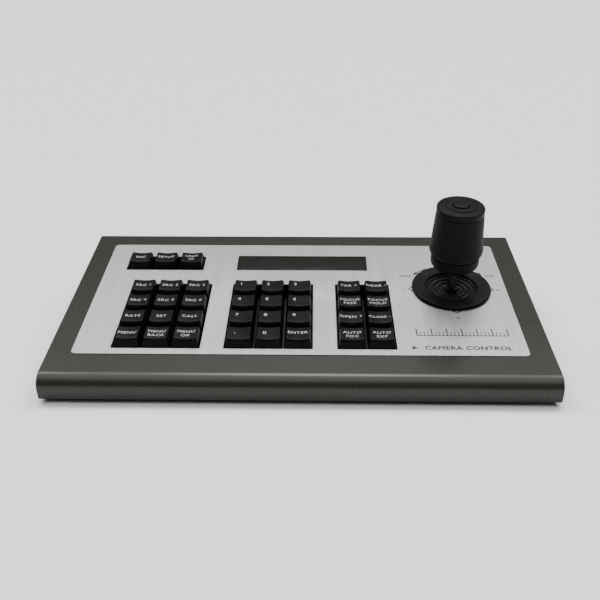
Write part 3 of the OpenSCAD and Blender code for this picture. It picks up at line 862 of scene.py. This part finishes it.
def make_boot():
    lower, upper = sheet_outline(boot_radii(BOOT_MIDDLE_R, BOOT_FREE_R, 22))
    rim = [(BOOT_RIM_INNER_R, BOOT_RIM_FOOT), (BOOT_RIM_R, BOOT_RIM_FOOT), (BOOT_RIM_R, BOOT_RIM_TOP)]
    outer = lathe("boot_outer", lower + rim + upper[::-1])
    lower, upper = sheet_outline(boot_radii(BOOT_COLLAR_R, BOOT_MIDDLE_R, 26))
    collar = [
        (BOOT_COLLAR_R, BOOT_COLLAR_HALF_H - BOOT_CHAMFER),
        (BOOT_COLLAR_R - BOOT_CHAMFER, BOOT_COLLAR_HALF_H),
        (BOOT_BORE_R, BOOT_COLLAR_HALF_H),
        (BOOT_BORE_R, -BOOT_COLLAR_HALF_H),
        (BOOT_COLLAR_R, -BOOT_COLLAR_HALF_H),
    ]
    inner = lathe("boot_inner", lower + upper[::-1] + collar)
    for obj in (outer, inner):
        obj.data.shade_smooth()
        obj.data.set_sharp_from_angle(angle=math.radians(60))
        obj.data.materials.append(BOOT_RUBBER)
    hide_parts("rubber_boot")
    radial_blend(outer, BOOT_FREE_R, BOOT_MIDDLE_R)
    radial_blend(inner, BOOT_MIDDLE_R, BOOT_HELD_R)


# Outlines as (radius, height above the deck, rounding) in millimetres
KNOB_CORE = (
    (3.0, 19.1), (9.6, 19.1, 1.2), (13.6, 19.8, 2.0), (16.6, 23.1, 3.0), (16.6, 29.6, 0.2), (12.5, 29.6),
    (12.5, 61.6), (16.1, 61.6, 0.25), (16.1, 66.3, 1.3), (10.2, 66.3, 0.25), (9.9, 67.0, 0.35),
    (5.75, 67.0, 0.3), (5.75, 63.6), (10.5, 63.6), (10.5, 47.6), (5.5, 45.6), (3.0, 45.6),
)
KNOB_SLEEVE = (
    (12.5, 29.65), (15.6, 29.65, 0.5), (18.0, 32.2, 2.0), (18.5, 35.2, 1.2), (17.8, 38.6, 2.5),
    (16.15, 61.2, 0.5), (15.2, 61.55, 0.2), (12.5, 61.55),
)
TOP_BUTTON = ((0, 67.75), (5.4, 67.75, 0.6), (5.4, 61.6), (7.4, 61.6), (7.4, 60.1), (0, 60.1))


def make_knob():
    core = lathe("knob_body", fillet(KNOB_CORE))
    dress(core, "knob", KNOB_PLASTIC, ("knob_core",), 40)
    sleeve = lathe("knob_sleeve", fillet(KNOB_SLEEVE))
    dress(sleeve, "knob", GRIP_RUBBER, ("knob_grip",), 40)
    button = solid_lathe("knob_button_cap", fillet(TOP_BUTTON))
    dress(button, "top_button", KNOB_PLASTIC, ("knob_button",), 40)


make_boot()
make_knob()

# ---------------------------------------------------------------- printing on the face plate

INK_T = 0.03
PLATE_TOP = deck_box("face_plate")[1].z


def ink(name, points, faces, x, u):
    """A printed figure on the face plate; points are (x, u, height) in millimetres round its middle."""
    place = DECK @ Matrix.Translation((x, u, PLATE_TOP + INK_T / 2))
    obj = link_mesh(name, points, faces, place)
    dress(obj, "console", DARK_INK)


def flat_strip(path, width):
    """A flat line of even width along a path, as a thin closed solid."""
    points, faces = [], []
    count = len(path)
    for i, here in enumerate(path):
        before = Vector(path[max(i - 1, 0)])
        after = Vector(path[min(i + 1, count - 1)])
        along = (after - before).normalized()
        side = Vector((-along.y, along.x)) * width / 2
        for sign in (-1, 1):
            for height in (-INK_T / 2, INK_T / 2):
                points.append((here[0] + sign * side.x, here[1] + sign * side.y, height))
    for i in range(count - 1):
        a, b = 4 * i, 4 * (i + 1)
        for k, m in ((0, 1), (1, 3), (3, 2), (2, 0)):
            faces.append((a + k, a + m, b + m, b + k))
    last = 4 * (count - 1)
    faces.append((0, 1, 3, 2))
    faces.append((last, last + 1, last + 3, last + 2))
    return points, faces


def flat_polygon(outline):
    """A flat filled figure as a thin closed solid."""
    count = len(outline)
    points = [(x, y, -INK_T / 2) for x, y in outline] + [(x, y, INK_T / 2) for x, y in outline]
    faces = [tuple(range(count)), tuple(range(2 * count - 1, count - 1, -1))]
    for i in range(count):
        after = (i + 1) % count
        faces.append((i, after, count + after, count + i))
    return points, faces


MARK_TIP = 30.1
MARK_HALF = 3.7
MARK_WIDTH = 1.15
LABEL_SIZE = 3.0
LABEL_WEIGHT = 0.06
# The zoom arrows: an arc between two angles from the rear, and a head at its end
ARC_R = 30.9
ARC_WIDTH = 1.0
ARC_DEGREES = range(28, 47, 3)
ARROW_LENGTH = 4.4
ARROW_HALF = 2.1


def make_marks():
    """Chevrons that point away from the flange, the zoom arrows round it, and their letters."""
    stick_x = PIVOT.x / MM
    path = [(MARK_TIP - MARK_HALF, MARK_HALF), (MARK_TIP, 0), (MARK_TIP - MARK_HALF, -MARK_HALF)]
    for name, degrees in (("left", 180), ("right", 0), ("front", 270), ("rear", 90)):
        turn = Matrix.Rotation(math.radians(degrees), 2)
        ink("mark_" + name, *flat_strip([turn @ Vector(p) for p in path], MARK_WIDTH), stick_x, PIVOT_U)
    labels = (
        ("left", "L", -33.6, -1.0),
        ("right", "R", 33.4, -1.0),
        ("front", "D", 0, -36.0),
        ("wide", "WIDE", -31.0, 17.0),
        ("tele", "TELE", 30.0, 17.6),
    )
    for name, text, dx, du in labels:
        lettering = letters("label", text, LABEL_SIZE, LETTER_STRETCH, INK_T, LABEL_WEIGHT)
        ink("label_" + name, *lettering, stick_x + dx, PIVOT_U + du)
    for name, sign in (("wide", -1), ("tele", 1)):
        angles = [math.radians(90 - sign * step) for step in ARC_DEGREES]
        arc = [(ARC_R * math.cos(a), ARC_R * math.sin(a)) for a in angles]
        ink("arc_" + name, *flat_strip(arc, ARC_WIDTH), stick_x, PIVOT_U)
        radial = Vector(arc[-1]).normalized()
        along = Vector((radial.y, -radial.x)) * sign
        base = Vector(arc[-1])
        head = [base + along * ARROW_LENGTH, base + radial * ARROW_HALF, base - radial * ARROW_HALF]
        ink("arrow_" + name, *flat_polygon([(p.x, p.y) for p in head]), stick_x, PIVOT_U)


SCALE_U = 47.6
SCALE_LEFT = 76.5
SCALE_RIGHT = 136.0
SCALE_STEPS = 24
SCALE_WIDTH = 0.7
# Length and width of a tick; every fourth is a long one
LONG_TICK = (7.6, 0.8)
SHORT_TICK = (4.2, 0.5)
CAPTION_U = 34.4
CAPTION_X = 108.0
CAPTION_SIZE = 5.1
CAPTION_STRETCH = 1.16
CAPTION_WEIGHT = 0.16
CAPTION_SPACING = 1.06
CAPTION_MARK_X = 74.0


def make_scale():
    """A plain rule and the unit's plain caption in front of the joystick."""
    ink("scale_line", *flat_strip([(SCALE_LEFT, 0), (SCALE_RIGHT, 0)], SCALE_WIDTH), 0, SCALE_U)
    for i in range(SCALE_STEPS + 1):
        x = SCALE_LEFT + (SCALE_RIGHT - SCALE_LEFT) * i / SCALE_STEPS
        height, width = SHORT_TICK if i % 4 else LONG_TICK
        ink("scale_tick_%02d" % i, *flat_strip([(x, 0), (x, height)], width), 0, SCALE_U)
    lettering = letters(
        "caption", "CAMERA CONTROL", CAPTION_SIZE, CAPTION_STRETCH, INK_T, CAPTION_WEIGHT,
        spacing=CAPTION_SPACING,
    )
    ink("caption", *lettering, CAPTION_X, CAPTION_U)
    ink("caption_mark", *flat_polygon([(-2, -2.0), (2, 0), (-2, 2.0)]), CAPTION_MARK_X, CAPTION_U)


make_marks()
make_scale()

# ---------------------------------------------------------------- feet and connectors

FOOT_R = 7.0
FOOT_H = 3.0
FOOT_STEPS = 64
DIMPLE_R = 2.2


def make_feet():
    """Four round feet, each with a dimple in its sole."""
    low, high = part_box("rubber_feet")
    r = FOOT_R
    outline = fillet([(DIMPLE_R, 0.0), (6.6, 0.0, 0.3), (r, 0.6, 0.4), (r, FOOT_H), (DIMPLE_R, FOOT_H)])
    dimple = [(0, 1.6), (1.4, 1.6), (DIMPLE_R, 0.0)]
    places = [
        (x, y) for x in (low.x / MM + r, high.x / MM - r) for y in (low.y / MM + r, high.y / MM - r)
    ]
    for i, (x, y) in enumerate(places):
        place = WORLD @ Matrix.Translation((x, y, 0))
        profile = dimple + [tuple(p) for p in outline[1:-1]] + [(0, FOOT_H)]
        obj = solid_lathe("foot_%d" % (i + 1), profile, place, FOOT_STEPS)
        replaced = ("rubber_feet",) if i == 0 else ()
        dress(obj, "console", FOOT_RUBBER, replaced, 40)


make_feet()

# The rocker's tip at rest in degrees, and the ends of its upper face as (out of the panel, up)
ROCKER_REST = 12.0
ROCKER_TOP = Vector((4.2, 8.2))
ROCKER_WAIST = Vector((2.6, 0.0))
ROCKER_STROKE_HALF = 1.7
ROCKER_RING_R = 1.5
ROCKER_LINE = 0.5


def make_rocker_marks():
    """A stroke on the rocker's upper face and a ring on its lower face."""
    joint = Vector(JOINTS["power_rocker_tip"]["pos_m"]) / MM
    turn = WORLD @ Matrix.Translation(joint) @ Matrix.Rotation(math.radians(ROCKER_REST), 4, "X")
    angles = [math.radians(a) for a in range(0, 361, 15)]
    ring = [(ROCKER_RING_R * math.cos(a), ROCKER_RING_R * math.sin(a)) for a in angles]
    stroke = [(0, -ROCKER_STROKE_HALF), (0, ROCKER_STROKE_HALF)]
    for name, way, path in (("on", 1, stroke), ("off", -1, ring)):
        top = Vector((ROCKER_TOP.x, way * ROCKER_TOP.y))
        along = (top - ROCKER_WAIST).normalized() * way
        out = Vector((along.y, -along.x))
        middle = (top + ROCKER_WAIST) / 2 + out * INK_T / 2
        place = turn @ Matrix((
            (-1, 0, 0, 0), (0, along.x, out.x, middle.x), (0, along.y, out.y, middle.y), (0, 0, 0, 1)
        ))
        mark = link_mesh("rocker_mark_" + name, *flat_strip(path, ROCKER_LINE), place)
        dress(mark, BODY_OF["power_rocker"], WHITE_INK)


make_rocker_marks()


def block_piece(name, low, high, bevel_mm, material, place=WORLD):
    """A block of the console with softened edges, from a low to a high corner in millimetres."""
    corners = [(x, y, z) for x in (low[0], high[0]) for y in (low[1], high[1]) for z in (low[2], high[2])]
    faces = [(0, 1, 3, 2), (4, 6, 7, 5), (0, 4, 5, 1), (2, 3, 7, 6), (0, 2, 6, 4), (1, 5, 7, 3)]
    obj = link_mesh(name, corners, faces, place)
    bm = bmesh.new()
    bm.from_mesh(obj.data)
    bmesh.ops.bevel(bm, geom=bm.edges, offset=bevel_mm * MM, segments=2, profile=0.5, affect="EDGES")
    bm.to_mesh(obj.data)
    bm.free()
    dress(obj, "console", material)


CONTACT_COUNT = 8
CONTACT_PITCH = 1.02
CONTACT_HALF = 0.22
LIGHT_OFFSET = 5.4
LIGHT_HALF = 1.6
CLAMP_COUNT = 4
CLAMP_HALF = 1.2


def make_network_contacts():
    """Eight gold springs in the network jack, and its two light pipes."""
    low, high = (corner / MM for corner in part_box("ethernet_jack"))
    middle = (low.x + high.x) / 2
    for i in range(CONTACT_COUNT):
        x = middle + (i - (CONTACT_COUNT - 1) / 2) * CONTACT_PITCH
        inner = (x - CONTACT_HALF, high.y - 10.5, low.z + 8.6)
        outer = (x + CONTACT_HALF, high.y - 3.5, low.z + 9.1)
        block_piece("jack_contact_%d" % (i + 1), inner, outer, 0.06, GOLD)
    for name, side, material in (("left", -1, AMBER_PIPE), ("right", 1, GREEN_PIPE)):
        x = middle + side * LIGHT_OFFSET
        inner = (x - LIGHT_HALF, high.y - 2.0, high.z - 2.1)
        outer = (x + LIGHT_HALF, high.y + 0.05, high.z - 0.7)
        block_piece("jack_light_" + name, inner, outer, 0.15, material)


def make_terminal_clamps():
    """A plated clamp behind each wire entry of the serial terminal."""
    low, high = (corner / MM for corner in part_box("serial_terminal"))
    for i in range(CLAMP_COUNT):
        x = low.x + (i + 0.5) * (high.x - low.x) / CLAMP_COUNT
        inner = (x - CLAMP_HALF, high.y - 6.5, low.z + 2.2)
        outer = (x + CLAMP_HALF, high.y - 5.9, low.z + 4.6)
        block_piece("clamp_%d" % (i + 1), inner, outer, 0.1, JACK_METAL)


LCD_N = -2.25
LCD_HALF_W = 45.5
LCD_HALF_D = 8.2
LCD_T = 0.25


def make_lcd():
    """The display's glass, under the window."""
    low, high = deck_box("display_window")
    place = DECK @ Matrix.Translation((0, (low.y + high.y) / 2, LCD_N))
    near = (-LCD_HALF_W, -LCD_HALF_D, 0)
    far = (LCD_HALF_W, LCD_HALF_D, LCD_T)
    block_piece("lcd_glass", near, far, 0.08, DISPLAY, place)


make_network_contacts()
make_terminal_clamps()
make_lcd()
